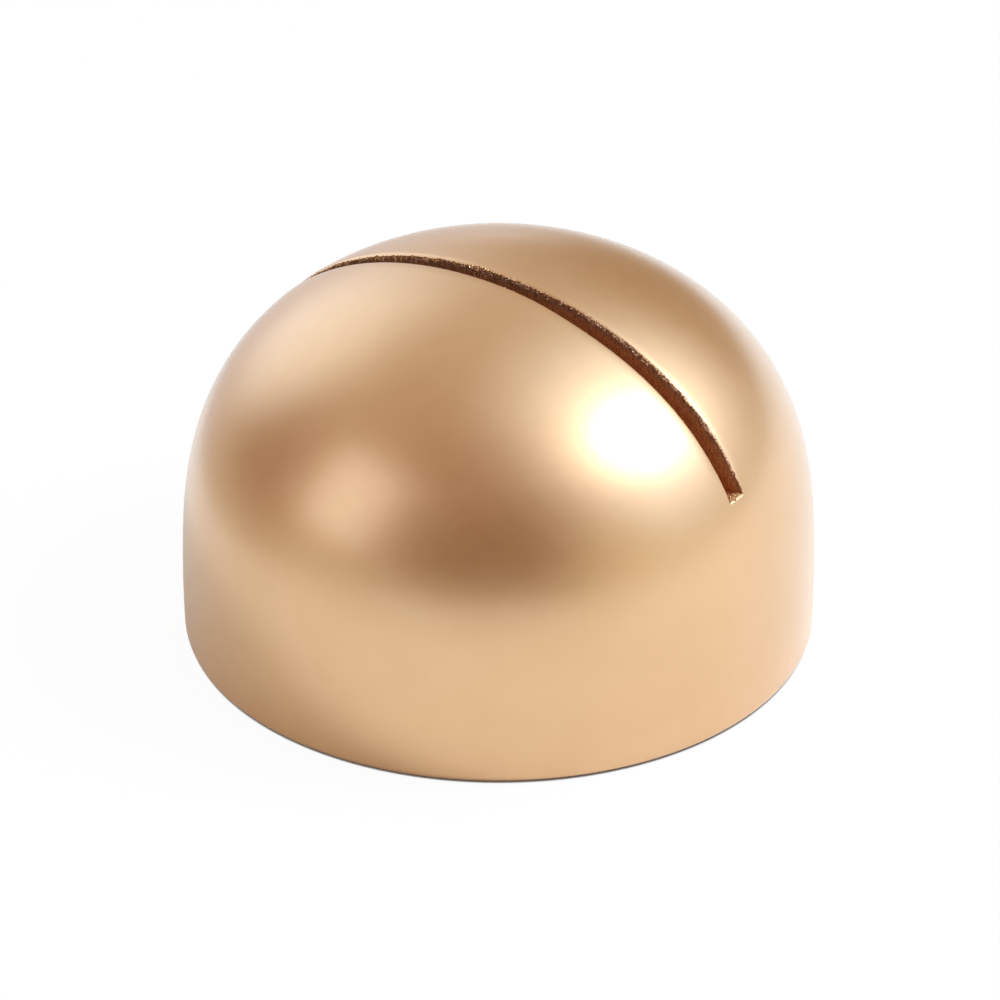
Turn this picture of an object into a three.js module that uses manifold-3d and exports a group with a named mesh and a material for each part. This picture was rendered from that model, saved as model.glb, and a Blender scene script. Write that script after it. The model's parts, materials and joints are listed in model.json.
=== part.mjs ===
// Table number stand: a turned wooden dome under gold lacquer, with a sawn slot across its crown for a card.
// Millimetres, +Z up. The origin lies on the table under the crown, and the slot runs along X.

import * as THREE from "three";
import { mergeVertices } from "three/addons/utils/BufferGeometryUtils.js";
import Module from "manifold-3d";

const wasm = await Module();
wasm.setup();

// Dome, measured over the lacquer. Heights count from the underside of the foot rim.
const DOME_DIAMETER = 40;
const DOME_HEIGHT = 24.9;
const WIDEST_HEIGHT = 4.4;
// Power of the crown's rise: 2 is an ellipse, and more is fuller at the shoulder.
const CROWN_FULLNESS = 2.89;
// How far the skirt draws in from the widest ring down to the foot.
const FOOT_TUCK = 0.11;
const FOOT_ROUND = 0.4;

// Lacquer film, and the bond line between it and the wood.
const LACQUER_THICKNESS = 0.2;
const BOND_LINE = 0.03;

// Card slot, sawn straight across the crown and out through both sides.
const SLOT_WIDTH = 1.2;
const SLOT_DEPTH = 9.4;
const SAW_OVERRUN = 5;
// The block's solids part this far above the slot floor.
const SEAM_RISE = 0.2;

// Felt pad, glued into a shallow recess in the base and standing a little proud of the rim.
const RIM_WIDTH = 3.5;
const PAD_CLEARANCE = 0.3;
const PAD_THICKNESS = 1;
const PAD_PROUD = 0.1;
const PAD_EDGE_ROUND = 0.25;
const ADHESIVE_THICKNESS = 0.15;
const ADHESIVE_MARGIN = 0.4;

// Facets
const SEGMENTS_AROUND = 64;
const CROWN_STEPS = 16;
const SKIRT_STEPS = 3;
const ROUND_STEPS = 3;
const WELD_DISTANCE = 1e-5;

const SLOT_FLOOR = DOME_HEIGHT - SLOT_DEPTH;
const FOOT_RADIUS = DOME_DIAMETER / 2 - FOOT_TUCK;
const RECESS_RADIUS = FOOT_RADIUS - RIM_WIDTH;
const RECESS_DEPTH = PAD_THICKNESS + ADHESIVE_THICKNESS - PAD_PROUD;
const PAD_RADIUS = RECESS_RADIUS - PAD_CLEARANCE;
const ADHESIVE_RADIUS = PAD_RADIUS - ADHESIVE_MARGIN;

// Half outline of the dome from the foot rim up to the crown, set in from the lacquer's face by inset.
function domeOutline(inset) {
  const widest = DOME_DIAMETER / 2 - inset;
  const foot = FOOT_RADIUS - inset;
  const round = Math.max(FOOT_ROUND - inset, LACQUER_THICKNESS / 2);
  const crownRise = DOME_HEIGHT - inset - WIDEST_HEIGHT;
  const skirtStart = inset + round;
  const edge = new THREE.Path().absarc(foot - round, skirtStart, round, -Math.PI / 2, 0);
  const points = edge.getPoints(ROUND_STEPS);
  for (let step = 1; step <= SKIRT_STEPS; step++) {
    const share = step / SKIRT_STEPS;
    const swell = 1 - (1 - share) ** 2;
    const height = THREE.MathUtils.lerp(skirtStart, WIDEST_HEIGHT, share);
    points.push(new THREE.Vector2(THREE.MathUtils.lerp(foot, widest, swell), height));
  }
  for (let step = 1; step < CROWN_STEPS; step++) {
    const angle = (step / CROWN_STEPS) * (Math.PI / 2);
    const radius = widest * Math.cos(angle);
    const height = WIDEST_HEIGHT + crownRise * Math.sin(angle) ** (2 / CROWN_FULLNESS);
    points.push(new THREE.Vector2(radius, height));
  }
  points.push(new THREE.Vector2(0, WIDEST_HEIGHT + crownRise));
  return points;
}

// Solid of revolution about Z. The outline runs with the material on its left.
function revolve(outline) {
  const geometry = new THREE.LatheGeometry(outline, SEGMENTS_AROUND).rotateX(Math.PI / 2);
  return toSolid(geometry);
}

function toSolid(geometry) {
  geometry.deleteAttribute("normal");
  geometry.deleteAttribute("uv");
  const merged = mergeVertices(geometry, WELD_DISTANCE);
  const corners = merged.index.array;
  const triangles = [];
  for (let first = 0; first < corners.length; first += 3) {
    const [a, b, c] = corners.slice(first, first + 3);
    // A revolved outline closes to a point on its axis, where one edge of each facet has no length.
    if (a !== b && b !== c && c !== a) {
      triangles.push(a, b, c);
    }
  }
  const mesh = new wasm.Mesh({
    numProp: 3,
    vertProperties: merged.attributes.position.array,
    triVerts: new Uint32Array(triangles),
  });
  return new wasm.Manifold(mesh);
}

function toGeometry(solid) {
  const { vertProperties, triVerts } = solid.getMesh();
  const geometry = new THREE.BufferGeometry();
  geometry.setAttribute("position", new THREE.BufferAttribute(vertProperties, 3));
  geometry.setIndex(new THREE.BufferAttribute(triVerts, 1));
  geometry.computeVertexNormals();
  return geometry;
}

function piece(name, solid, look) {
  const mesh = new THREE.Mesh(toGeometry(solid), new THREE.MeshStandardMaterial(look));
  mesh.name = name;
  return mesh;
}

// Block that spans the dome along X, lies between two places in Y and reaches from a level up past the crown.
function upperBlock(front, rear, level) {
  const length = DOME_DIAMETER + 2 * SAW_OVERRUN;
  const height = DOME_HEIGHT + SAW_OVERRUN - level;
  const box = new THREE.BoxGeometry(length, rear - front, height);
  box.translate(0, (front + rear) / 2, level + height / 2);
  return toSolid(box);
}

// The saw's path: one cut takes the slot out of the lacquer and the wood together.
function sawCut() {
  return upperBlock(-SLOT_WIDTH / 2, SLOT_WIDTH / 2, SLOT_FLOOR);
}

// Wooden dome with the felt's recess turned into its base.
function turnedBody() {
  const inset = LACQUER_THICKNESS + BOND_LINE;
  const outline = [
    new THREE.Vector2(0, RECESS_DEPTH),
    new THREE.Vector2(RECESS_RADIUS, RECESS_DEPTH),
    new THREE.Vector2(RECESS_RADIUS, inset),
    ...domeOutline(inset),
  ];
  return revolve(outline).subtract(sawCut());
}

// The dome is one block of wood. It is given as a base and two cheeks that meet face to face, so that no solid
// wraps round the slot and the slot stays free for a card.
function bodySolids() {
  const body = turnedBody();
  const reach = DOME_DIAMETER / 2 + SAW_OVERRUN;
  const seam = SLOT_FLOOR + SEAM_RISE;
  const overSeam = upperBlock(-reach, reach, seam);
  const cheeks = body.intersect(overSeam);
  return {
    base: body.subtract(overSeam),
    front: cheeks.intersect(upperBlock(-reach, 0, SLOT_FLOOR)),
    rear: cheeks.intersect(upperBlock(0, reach, SLOT_FLOOR)),
  };
}

// Lacquer film over the whole dome, round the foot and across the rim as far as the recess.
function lacquerFilm() {
  const outline = [
    ...domeOutline(LACQUER_THICKNESS).reverse(),
    new THREE.Vector2(RECESS_RADIUS, LACQUER_THICKNESS),
    new THREE.Vector2(RECESS_RADIUS, 0),
    ...domeOutline(0),
  ];
  return revolve(outline).subtract(sawCut());
}

// Die-cut felt disc with softly rounded edges, standing on z = 0.
function feltDisc() {
  const round = Math.min(PAD_EDGE_ROUND, PAD_THICKNESS / 2);
  const flat = PAD_RADIUS - round;
  const profile = new THREE.Path();
  profile.moveTo(0, 0);
  profile.lineTo(flat, 0);
  profile.absarc(flat, round, round, -Math.PI / 2, 0);
  profile.absarc(flat, PAD_THICKNESS - round, round, 0, Math.PI / 2);
  profile.lineTo(0, PAD_THICKNESS);
  return revolve(profile.getPoints(ROUND_STEPS));
}

function adhesiveDisc() {
  const outline = [
    new THREE.Vector2(0, 0),
    new THREE.Vector2(ADHESIVE_RADIUS, 0),
    new THREE.Vector2(ADHESIVE_RADIUS, ADHESIVE_THICKNESS),
    new THREE.Vector2(0, ADHESIVE_THICKNESS),
  ];
  return revolve(outline);
}

const wood = { color: "#6e3f26", roughness: 0.85, metalness: 0 };
const { base, front, rear } = bodySolids();
const dome = new THREE.Group();
dome.position.z = PAD_PROUD;
dome.add(
  piece("body_base", base, wood),
  piece("body_front_cheek", front, wood),
  piece("body_rear_cheek", rear, wood),
  piece("gold_lacquer", lacquerFilm(), { color: "#dbb58c", roughness: 0.3, metalness: 1 }),
);

const felt = piece("felt_pad", feltDisc(), { color: "#3b2d25", roughness: 0.95, metalness: 0 });
const adhesive = piece("pad_adhesive", adhesiveDisc(), { color: "#d9cfae", roughness: 0.5, metalness: 0 });
adhesive.position.z = PAD_THICKNESS;

const stand = new THREE.Group();
stand.add(dome, felt, adhesive);

export default stand;
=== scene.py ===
"""Looks of a table number stand: gold lacquer over a turned wooden dome, sawn across the crown for a card.

Shapes are worked out in millimetres in the row frame, and add_piece writes them in metres.
"""

import itertools
import json
import math

import bpy
import numpy as np
from mathutils import Matrix, Vector, noise
from mathutils.geometry import delaunay_2d_cdt


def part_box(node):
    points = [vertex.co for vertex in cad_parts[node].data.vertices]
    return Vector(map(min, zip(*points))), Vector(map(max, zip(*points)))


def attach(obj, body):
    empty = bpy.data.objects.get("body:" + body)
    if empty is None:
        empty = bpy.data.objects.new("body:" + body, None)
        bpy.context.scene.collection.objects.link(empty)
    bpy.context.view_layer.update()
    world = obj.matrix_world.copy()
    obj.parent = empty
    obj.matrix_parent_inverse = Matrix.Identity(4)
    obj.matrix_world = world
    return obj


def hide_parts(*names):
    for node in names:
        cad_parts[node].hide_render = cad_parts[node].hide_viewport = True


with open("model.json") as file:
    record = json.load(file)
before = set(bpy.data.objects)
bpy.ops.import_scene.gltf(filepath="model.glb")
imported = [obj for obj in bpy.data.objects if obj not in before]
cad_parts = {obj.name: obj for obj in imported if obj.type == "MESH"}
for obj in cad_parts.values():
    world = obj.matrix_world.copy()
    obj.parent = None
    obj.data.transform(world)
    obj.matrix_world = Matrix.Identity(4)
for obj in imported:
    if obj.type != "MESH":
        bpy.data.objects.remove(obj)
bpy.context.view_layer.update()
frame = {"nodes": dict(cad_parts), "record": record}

MM = 0.001


def node_box(node):
    """Lowest and highest corner of a CAD node in millimetres."""
    low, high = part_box(node)
    return np.array(low) / MM, np.array(high) / MM


film_low, film_high = node_box("gold_lacquer")
_, pad_high = node_box("felt_pad")
_, glue_high = node_box("pad_adhesive")
cheek_low, _ = node_box("body_rear_cheek")
mount_places = {mount["name"]: mount["pos_m"] for mount in frame["record"]["mounts"]}

# Dome: heights of its crown and of its widest ring, and the power of the crown's rise
RADIUS = film_high[0]
RIM = film_low[2]
CROWN = RIM + 24.9
WIDEST = RIM + 4.4
FULLNESS = 2.89
FOOT_TUCK = 0.11
FOOT_RADIUS = RADIUS - FOOT_TUCK
FOOT_ROUND = 0.4
# A sprayed film is thinner than the solid that stands for it. The wood follows close under it.
FILM = 0.07
BOND_LINE = 0.01
WOOD_DEPTH = FILM + BOND_LINE
# Card slot, and the pad in its recess
SLOT_HALF = cheek_low[1]
SLOT_FLOOR = mount_places["card_slot_floor"][2] / MM
PAD_RADIUS = pad_high[0]
PAD_THICKNESS = pad_high[2]
PAD_CLEARANCE = 0.3
RECESS_RADIUS = PAD_RADIUS + PAD_CLEARANCE
RECESS_TOP = glue_high[2]

# Above this level the cap is triangulated round the slot. Below it are plain rings.
CAP_LEVEL = RIM + 13.5
SEGMENTS = 256
# The cap's rings inside this radius have half as many points.
SPARSE_RADIUS = 9
# Fans of triangles close the recess's ceiling and the felt inside these radii.
CEILING_FAN = 0.5
FELT_FAN = 0.6
# Strip along the slot with rows of its own: half width, and reach past the slot's ends
STRIP_HALF = 2.3
STRIP_PAST_ENDS = 0.5
EDGE_STEP = 0.036
SLOT_ROWS = 24
FLOOR_ROWS = 8
# The rows of a wall crowd towards its top by this power.
ROW_CROWDING = 1.8
# Triangulation: the way it fills the whole outline, the distance that counts as none and the area that does
WHOLE_OUTLINE = 0
NO_DISTANCE = 1e-7
NO_AREA = 1e-9
HALVINGS = 50


def rows_of(*columns):
    """Points or vectors, one in each row, from columns of their coordinates."""
    return np.stack(columns, axis=-1)


def unit(vectors):
    return vectors / np.linalg.norm(vectors, axis=-1, keepdims=True)


def crown_height(radius):
    return WIDEST + (CROWN - WIDEST) * (1 - (radius / RADIUS) ** 2) ** (1 / FULLNESS)


def crown_radius(height):
    return RADIUS * np.sqrt(1 - ((height - WIDEST) / (CROWN - WIDEST)) ** FULLNESS)


RING_RADIUS = crown_radius(CAP_LEVEL)


def crown_normals(x, y):
    share = 1 - (x ** 2 + y ** 2) / RADIUS ** 2
    fall = 2 * (CROWN - WIDEST) / (FULLNESS * RADIUS ** 2) * share ** (1 / FULLNESS - 1)
    return unit(rows_of(fall * x, fall * y, np.ones_like(x)))


def on_crown(x, y, depth):
    """Points under the crown's face, depth below it along its normal."""
    face = rows_of(x, y, crown_height(np.hypot(x, y)))
    return face - np.asarray(depth)[..., None] * crown_normals(x, y)


# The saw dug in before it came out at +X, and left a lip there: places along the slot and the floor's fall
DIP_PLACES = (13.5, 16.2, 16.8, 18.2)
DIP_FALLS = (0, 0.5, 0.5, 0.22)
FLOOR_ENDS = {-1: SLOT_FLOOR, 1: SLOT_FLOOR - DIP_FALLS[-1]}


def floor_level(x):
    return SLOT_FLOOR - np.interp(x, DIP_PLACES, DIP_FALLS)


def exit_radius(depth, end):
    """Plan radius at which the slot floor leaves the dome, on the face that lies depth under the lacquer."""
    low = 0.5 * RADIUS
    high = RING_RADIUS
    for _ in range(HALVINGS):
        middle = (low + high) / 2
        if on_crown(middle, 0, depth)[2] > FLOOR_ENDS[end]:
            low = middle
        else:
            high = middle
    return (low + high) / 2


EXIT_RADIUS = {end: exit_radius(0, end) for end in (-1, 1)}


def side_outline():
    """Radius, height and normals down the side, round the foot and in to the recess."""
    levels = np.linspace(CAP_LEVEL, WIDEST, num=14)
    crown = rows_of(crown_radius(levels), levels)
    share = np.linspace(0, 1, num=7)[1:]
    skirt_end = RIM + FOOT_ROUND
    skirt = rows_of(
        FOOT_RADIUS + (RADIUS - FOOT_RADIUS) * (1 - share ** 2),
        WIDEST + (skirt_end - WIDEST) * share,
    )
    angle = np.linspace(0, -math.pi / 2, num=8)[1:]
    foot = rows_of(
        FOOT_RADIUS - FOOT_ROUND + FOOT_ROUND * np.cos(angle),
        skirt_end + FOOT_ROUND * np.sin(angle),
    )
    inward = np.linspace(FOOT_RADIUS - FOOT_ROUND, RECESS_RADIUS, num=5)[1:]
    rim = rows_of(inward, np.full_like(inward, RIM))
    points = np.concatenate([crown, skirt, foot, rim])
    along = np.gradient(points, axis=0)
    normals = unit(rows_of(-along[:, 1], along[:, 0]))
    normals[0] = crown_normals(points[0, 0], 0)[[0, 2]]
    normals[-len(rim) - 1:] = (0, -1)
    return points, normals


def angles_round(count):
    return np.arange(count) * 2 * math.pi / count


def circle(radius, count):
    angles = angles_round(count)
    return radius * rows_of(np.cos(angles), np.sin(angles))


def revolve(outline):
    """Rings of points about Z, one for each radius and height."""
    angles = angles_round(SEGMENTS)
    radius, height = outline[:, :1], outline[:, 1:]
    rings = rows_of(radius * np.cos(angles), radius * np.sin(angles), height + 0 * angles)
    return rings.reshape(-1, 3)


def ring_faces(count, first=0):
    """Quads between count rings, each ring below or inside the one before it, facing out."""
    faces = []
    for ring in range(count - 1):
        for k in range(SEGMENTS):
            here = first + ring * SEGMENTS + k
            beside = first + ring * SEGMENTS + (k + 1) % SEGMENTS
            faces.append((here, here + SEGMENTS, beside + SEGMENTS, beside))
    return faces


def grid_faces(rows, columns):
    """Quads between the points of a grid, row by row."""
    faces = []
    for row in range(rows - 1):
        for column in range(columns - 1):
            corner = row * columns + column
            faces.append((corner, corner + 1, corner + columns + 1, corner + columns))
    return faces


def inside_loop(points, loop):
    """Which plan points lie inside a closed loop, by counting crossings."""
    inside = np.zeros(len(points), bool)
    for (ax, ay), (bx, by) in zip(loop, np.roll(loop, -1, axis=0)):
        crosses = (ay > points[:, 1]) != (by > points[:, 1])
        if crosses.any():
            at = ax + (points[:, 1] - ay) * (bx - ax) / (by - ay)
            inside ^= crosses & (points[:, 0] < at)
    return inside


def cap_plan(hole, rows):
    """Plan points of the crown and triangles between them, left open inside the hole.

    The hole's loop comes first, then the ring that the side starts from, then the rows and the open crown.
    """
    ring = circle(RING_RADIUS, SEGMENTS)
    open_crown = []
    for turn in np.linspace(math.acos(RING_RADIUS / RADIUS), math.pi / 2, num=30)[1:-1]:
        radius = RADIUS * math.cos(turn)
        open_crown.append(circle(radius, SEGMENTS if radius > SPARSE_RADIUS else SEGMENTS // 2))
    open_crown = np.concatenate(open_crown)
    reach = hole[:, 0].max() + STRIP_PAST_ENDS
    in_strip = (np.abs(open_crown[:, 1]) < STRIP_HALF) & (np.abs(open_crown[:, 0]) < reach)
    points = np.concatenate([hole, ring, rows, open_crown[~in_strip]])
    loops = []
    for first, count in ((0, len(hole)), (len(hole), SEGMENTS)):
        loops += [(first + k, first + (k + 1) % count) for k in range(count)]
    places = [Vector(point) for point in points]
    _, _, made_faces, made_from, _, _ = delaunay_2d_cdt(places, loops, [], WHOLE_OUTLINE, NO_DISTANCE)
    triangles = np.array([[made_from[corner][0] for corner in face] for face in made_faces])
    corners = points[triangles]
    area = np.cross(corners[:, 1] - corners[:, 0], corners[:, 2] - corners[:, 0])
    triangles[area < 0] = triangles[area < 0][:, ::-1]
    keep = ~inside_loop(corners.mean(axis=1), hole) & (np.abs(area) > NO_AREA)
    return points, triangles[keep]


def shell(points, normals, faces, thickness):
    """Closed film under a face that is open at its edges."""
    count = len(points)
    edges = dict.fromkeys((a, b) for face in faces for a, b in zip(face, (*face[1:], face[0])))
    inner = [tuple(count + corner for corner in reversed(face)) for face in faces]
    rims = [(b, a, a + count, b + count) for a, b in edges if (b, a) not in edges]
    return np.concatenate([points, points - thickness * normals]), [*faces, *inner, *rims]


def gather(parts):
    """Points and faces of several parts as one mesh."""
    points, faces = [], []
    first = 0
    for part_points, part_faces in parts:
        points.append(part_points)
        faces += [tuple(first + corner for corner in face) for face in part_faces]
        first += len(part_points)
    return np.concatenate(points), faces


def weld(parts):
    """One mesh from parts that share the points along their seams."""
    points, faces = gather(parts)
    rounded = np.round(points, decimals=5) + 0.0
    _, kept, place = np.unique(rounded, axis=0, return_index=True, return_inverse=True)
    place = place.reshape(-1)
    joined = []
    for face in faces:
        corners = [place[corner] for corner in face]
        corners = [corner for k, corner in enumerate(corners) if corner != corners[k - 1]]
        if len(corners) > 2:
            joined.append(corners)
    return points[kept], joined


def add_object(name, data):
    made = bpy.data.objects.new(name, data)
    bpy.context.scene.collection.objects.link(made)
    return made


def add_piece(name, points, faces, material, slot, sharp_degrees):
    mesh = bpy.data.meshes.new(name)
    mesh.from_pydata((points * MM).tolist(), [], [[int(corner) for corner in face] for face in faces])
    mesh.materials.append(material)
    mesh.shade_smooth()
    mesh.set_sharp_from_angle(angle=math.radians(sharp_degrees))
    piece = add_object(name, mesh)
    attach(piece, "root")
    return piece


# Broken edges along the slot

# Random lines: how far apart two seeds lie in the noise, and the factor that brings it to about -1 to 1
SEED_STRIDES = (7.3, 1.7)
NOISE_GAIN = 1.6


def wander(x, length, seed):
    """Smooth random line over x, about -1 to 1, that turns about every length."""
    row = [stride * seed for stride in SEED_STRIDES]
    return np.array([noise.noise(Vector((value / length, *row))) for value in x]) * NOISE_GAIN


def ragged(x, start, lines):
    """Start with random lines over x added to it, each given by its size, length and seed."""
    for size, length, seed in lines:
        start = start + size * wander(x, length, seed)
    return start


def bump_at(x, centre, width, size):
    return size * np.exp(-((x - centre) / width) ** 2)


def falloff(distance, reach):
    """Share that falls evenly from 1 at no distance to 0 at reach."""
    return np.clip(1 - distance / reach, 0, 1)


# The saw ran wider towards +X: how far each wall lies back on its -X and +X half, and the stretch between
NEAR_DRIFT = (-0.2, 0.02)
FAR_DRIFT = (0.11, 0.186)
DRIFT_SPAN = (1, 8)
# Worn edges: how far down they go and how far back. The far edge is worn less on the +X half.
NEAR_WEAR = (0.012, 0.1)
FAR_WEAR = (0.084, 0.24)
FAR_WEAR_KEPT = 0.69
WEAR_POWER = 1.2
# The lacquer also rolls over gently towards both edges.
NEAR_ROLL = (0.056, 0.8)
FAR_ROLL = (0.03, 0.6)
# Both thin out to a share over the last stretch before the slot's ends, and to nothing beyond them.
THINNING = 1.2
THINNED_SHARE = 0.25
THINNING_BEYOND = 0.25
# The ends have wear of their own, which starts a little before them.
END_WEAR = (0.07, 0.066)
END_WEAR_START = 0.4
NORMAL_STEP = 0.004


def plus_x_share(x):
    """Smooth step from 0 on the slot's -X half to 1 on its +X half."""
    share = np.clip((x - DRIFT_SPAN[0]) / (DRIFT_SPAN[1] - DRIFT_SPAN[0]), 0, 1)
    return share * share * (3 - 2 * share)


def saw_line(x, side):
    """Distance of a sawn wall from the slot's middle plane."""
    start, end = NEAR_DRIFT if side < 0 else FAR_DRIFT
    return SLOT_HALF + start + (end - start) * plus_x_share(x)


def edge_drop(x, y):
    """How far the face is worn down below the dome, close to the slot."""
    far = y > 0
    beside = np.maximum(np.abs(y) - np.where(far, saw_line(x, 1), saw_line(x, -1)), 0)
    out = np.hypot(x, y) - np.where(x < 0, EXIT_RADIUS[-1], EXIT_RADIUS[1])
    beyond = np.maximum(out, 0)
    kept = 1 - (1 - FAR_WEAR_KEPT) * plus_x_share(x)
    down = np.where(far, FAR_WEAR[0] * kept, NEAR_WEAR[0])
    back = np.where(far, FAR_WEAR[1] * kept, NEAR_WEAR[1])
    roll_down = np.where(far, FAR_ROLL[0], NEAR_ROLL[0])
    roll_back = np.where(far, FAR_ROLL[1], NEAR_ROLL[1])
    worn = down * falloff(beside, back) ** WEAR_POWER
    rolled = roll_down * falloff(beside, roll_back) ** 2
    fade = np.clip(-out / THINNING, THINNED_SHARE, 1) * falloff(beyond, THINNING_BEYOND) ** 2
    at_ends = END_WEAR[0] * falloff(np.hypot(beside, beyond), END_WEAR[1]) ** WEAR_POWER
    close_to_end = falloff(-out, END_WEAR_START)
    return np.maximum((worn + rolled) * fade, at_ends * close_to_end)


def worn_normals(x, y):
    """Normals of the worn face, from points close by on it."""
    sides = []
    for dx, dy in ((NORMAL_STEP, 0), (0, NORMAL_STEP)):
        ahead = on_crown(x + dx, y + dy, edge_drop(x + dx, y + dy))
        behind = on_crown(x - dx, y - dy, edge_drop(x - dx, y - dy))
        sides.append(ahead - behind)
    return unit(np.cross(*sides))


def wood_face(x, y):
    """Points on the wood's face, which follows the lacquer down over the worn edges."""
    return on_crown(x, y, WOOD_DEPTH + edge_drop(x, y))


# How far the lacquer's edges have broken back, and random lines in them: size, length and seed
NEAR_GAP = 0.004
NEAR_LINES = ((0.008, 0.35, 1), (0.006, 0.11, 2))
FAR_GAP = 0.005
FAR_LINES = ((0.02, 0.1, 4), (0.015, 1.3, 5))
FAR_GAP_RANGE = (-0.01, 0.22)
# Teeth in the far edge, where a random line crosses zero: depth, the line's length and seed, and its range
TOOTH_DEPTH = 0.08
TOOTH_LINE = (0.3, 3)
TOOTH_RANGE = 0.35
# Patch of torn lacquer on the far edge: its range along the slot and its depth
TORN_PATCH = (-2.9, -1.3)
TORN_DEPTH = 0.1
# Lacquer broken out beyond the slot's ends: how far, a random line in it, and a pit's place, width and size
END_BREAKS = {
    -1: (0.02, (0.015, 0.2, 22), (0.25, 0.12, 0.09)),
    1: (-0.01, (0.02, 0.2, 21), (-0.1, 0.1, 0.05)),
}


def film_gap(x, side):
    """How far the lacquer's edge has broken back from the saw's line. Below zero it hangs over the slot."""
    if side < 0:
        return ragged(x, NEAR_GAP, NEAR_LINES)
    teeth = falloff(np.abs(wander(x, *TOOTH_LINE)), TOOTH_RANGE)
    gap = ragged(x, FAR_GAP + TOOTH_DEPTH * teeth, FAR_LINES)
    gap = gap + bump_at(x, np.mean(TORN_PATCH), np.ptp(TORN_PATCH) / 2, TORN_DEPTH)
    return np.clip(gap, *FAR_GAP_RANGE)


def end_gap(y, end):
    """How far the lacquer has broken out beyond an end of the slot, over y."""
    start, line, pit = END_BREAKS[end]
    return ragged(y, start, [line]) + bump_at(y, *pit)


# Marks and grain of the sawn walls: length along the slot and down the wall, size, and seed after the wall's
WALL_SEEDS = {-1: 11, 1: 17}
WALL_PATTERNS = ((0.13, 0.55, 0.022, 0), (0.09, 0.08, 0.018, 3))
# Wood broken away at the top of a wall: length along the slot, seed, share of the length, size and depth
TOP_BREAKS = (0.22, (6, 0.5), 0.25, 0.06, 0.1)


def top_break(along, down, seed):
    length, (shift, row), share, size, depth = TOP_BREAKS
    broken = max(0, noise.noise(Vector((along / length, seed + shift, row))) + share)
    return size * broken * math.exp(-down / depth)


def wall_gap(x, drop, side):
    """How far the sawn wall lies back from the saw's line, drop below the wood's face."""
    seed = WALL_SEEDS[side]
    total = np.zeros(len(x))
    for k, (along, down) in enumerate(zip(x, drop)):
        for length, height, size, shift in WALL_PATTERNS:
            total[k] += size * noise.noise(Vector((along / length, down / height, seed + shift)))
        total[k] += top_break(along, down, seed)
    return total


def slot_loop(depth, gap_of, end_of):
    """Closed plan loop round the slot: near edge, +X end, far edge, -X end. Also the two edges and ends."""
    reach = {end: exit_radius(depth, end) for end in (-1, 1)}
    count = int(round((reach[-1] + reach[1]) / EDGE_STEP))
    spread = np.linspace(-1, 1, count + 1)
    radius = np.where(spread < 0, reach[-1], reach[1])
    edges = {}
    for side in (-1, 1):
        along = spread * radius
        y = side * (saw_line(along, side) + gap_of(along, side))
        edges[side] = rows_of(spread * np.sqrt(radius ** 2 - y ** 2), y)
    across = np.linspace(0, 1, FLOOR_ROWS + 1)[1:-1]
    ends = {}
    for end in (-1, 1):
        corner = 0 if end < 0 else -1
        y = edges[-1][corner, 1] + (edges[1][corner, 1] - edges[-1][corner, 1]) * across
        out = reach[end] + end_of(y, end)
        ends[end] = rows_of(end * np.sqrt(out ** 2 - y ** 2), y)
    loop = np.concatenate([edges[-1], ends[1], edges[1][::-1], ends[-1][::-1]])
    return loop, edges, ends


# Rows beside the slot calm down away from its broken edge, and stay inside the cap's ring by a margin.
ROW_CALMING = 0.3
RING_MARGIN = 0.3
# Half width of the rows beyond the slot's ends
END_ROW_HALF = 1.5


def edge_rows(edges, distances):
    """Rows of plan points beside the slot, further and further from its edges."""
    rows = []
    for side in (-1, 1):
        for distance, stride in distances:
            edge = edges[side][::stride]
            straight = side * saw_line(edge[:, 0], side)
            fade = math.exp(-distance / ROW_CALMING)
            y = straight + (edge[:, 1] - straight) * fade + side * distance
            reach = np.sqrt(RING_RADIUS ** 2 - y ** 2) - RING_MARGIN
            rows.append(rows_of(np.clip(edge[:, 0], -reach, reach), y))
    return np.concatenate(rows)


def end_rows(ends, distances):
    """Rows of plan points beyond the slot's two ends."""
    rows = []
    y = np.linspace(-END_ROW_HALF, END_ROW_HALF, num=25)
    for end in (-1, 1):
        base = np.interp(y, ends[end][:, 1], np.abs(ends[end][:, 0]))
        for distance in distances:
            rows.append(rows_of(end * (base + distance), y))
    return np.concatenate(rows)


# Lacquer and wood

# Rows beside the slot: distance from its edge, and the step along it
FILM_ROWS = (
    (0.025, 1), (0.055, 1), (0.09, 1), (0.13, 1), (0.2, 2), (0.3, 3), (0.42, 4), (0.58, 5), (0.8, 7),
    (1.1, 10), (1.6, 12),
)
WOOD_ROWS = ((0.04, 1), (0.09, 1), (0.15, 2), (0.24, 3), (0.6, 8), (1.4, 14))
BEYOND_ENDS = (0.015, 0.03, 0.05, 0.07, 0.1, 0.16, 0.26, 0.4)


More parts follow.
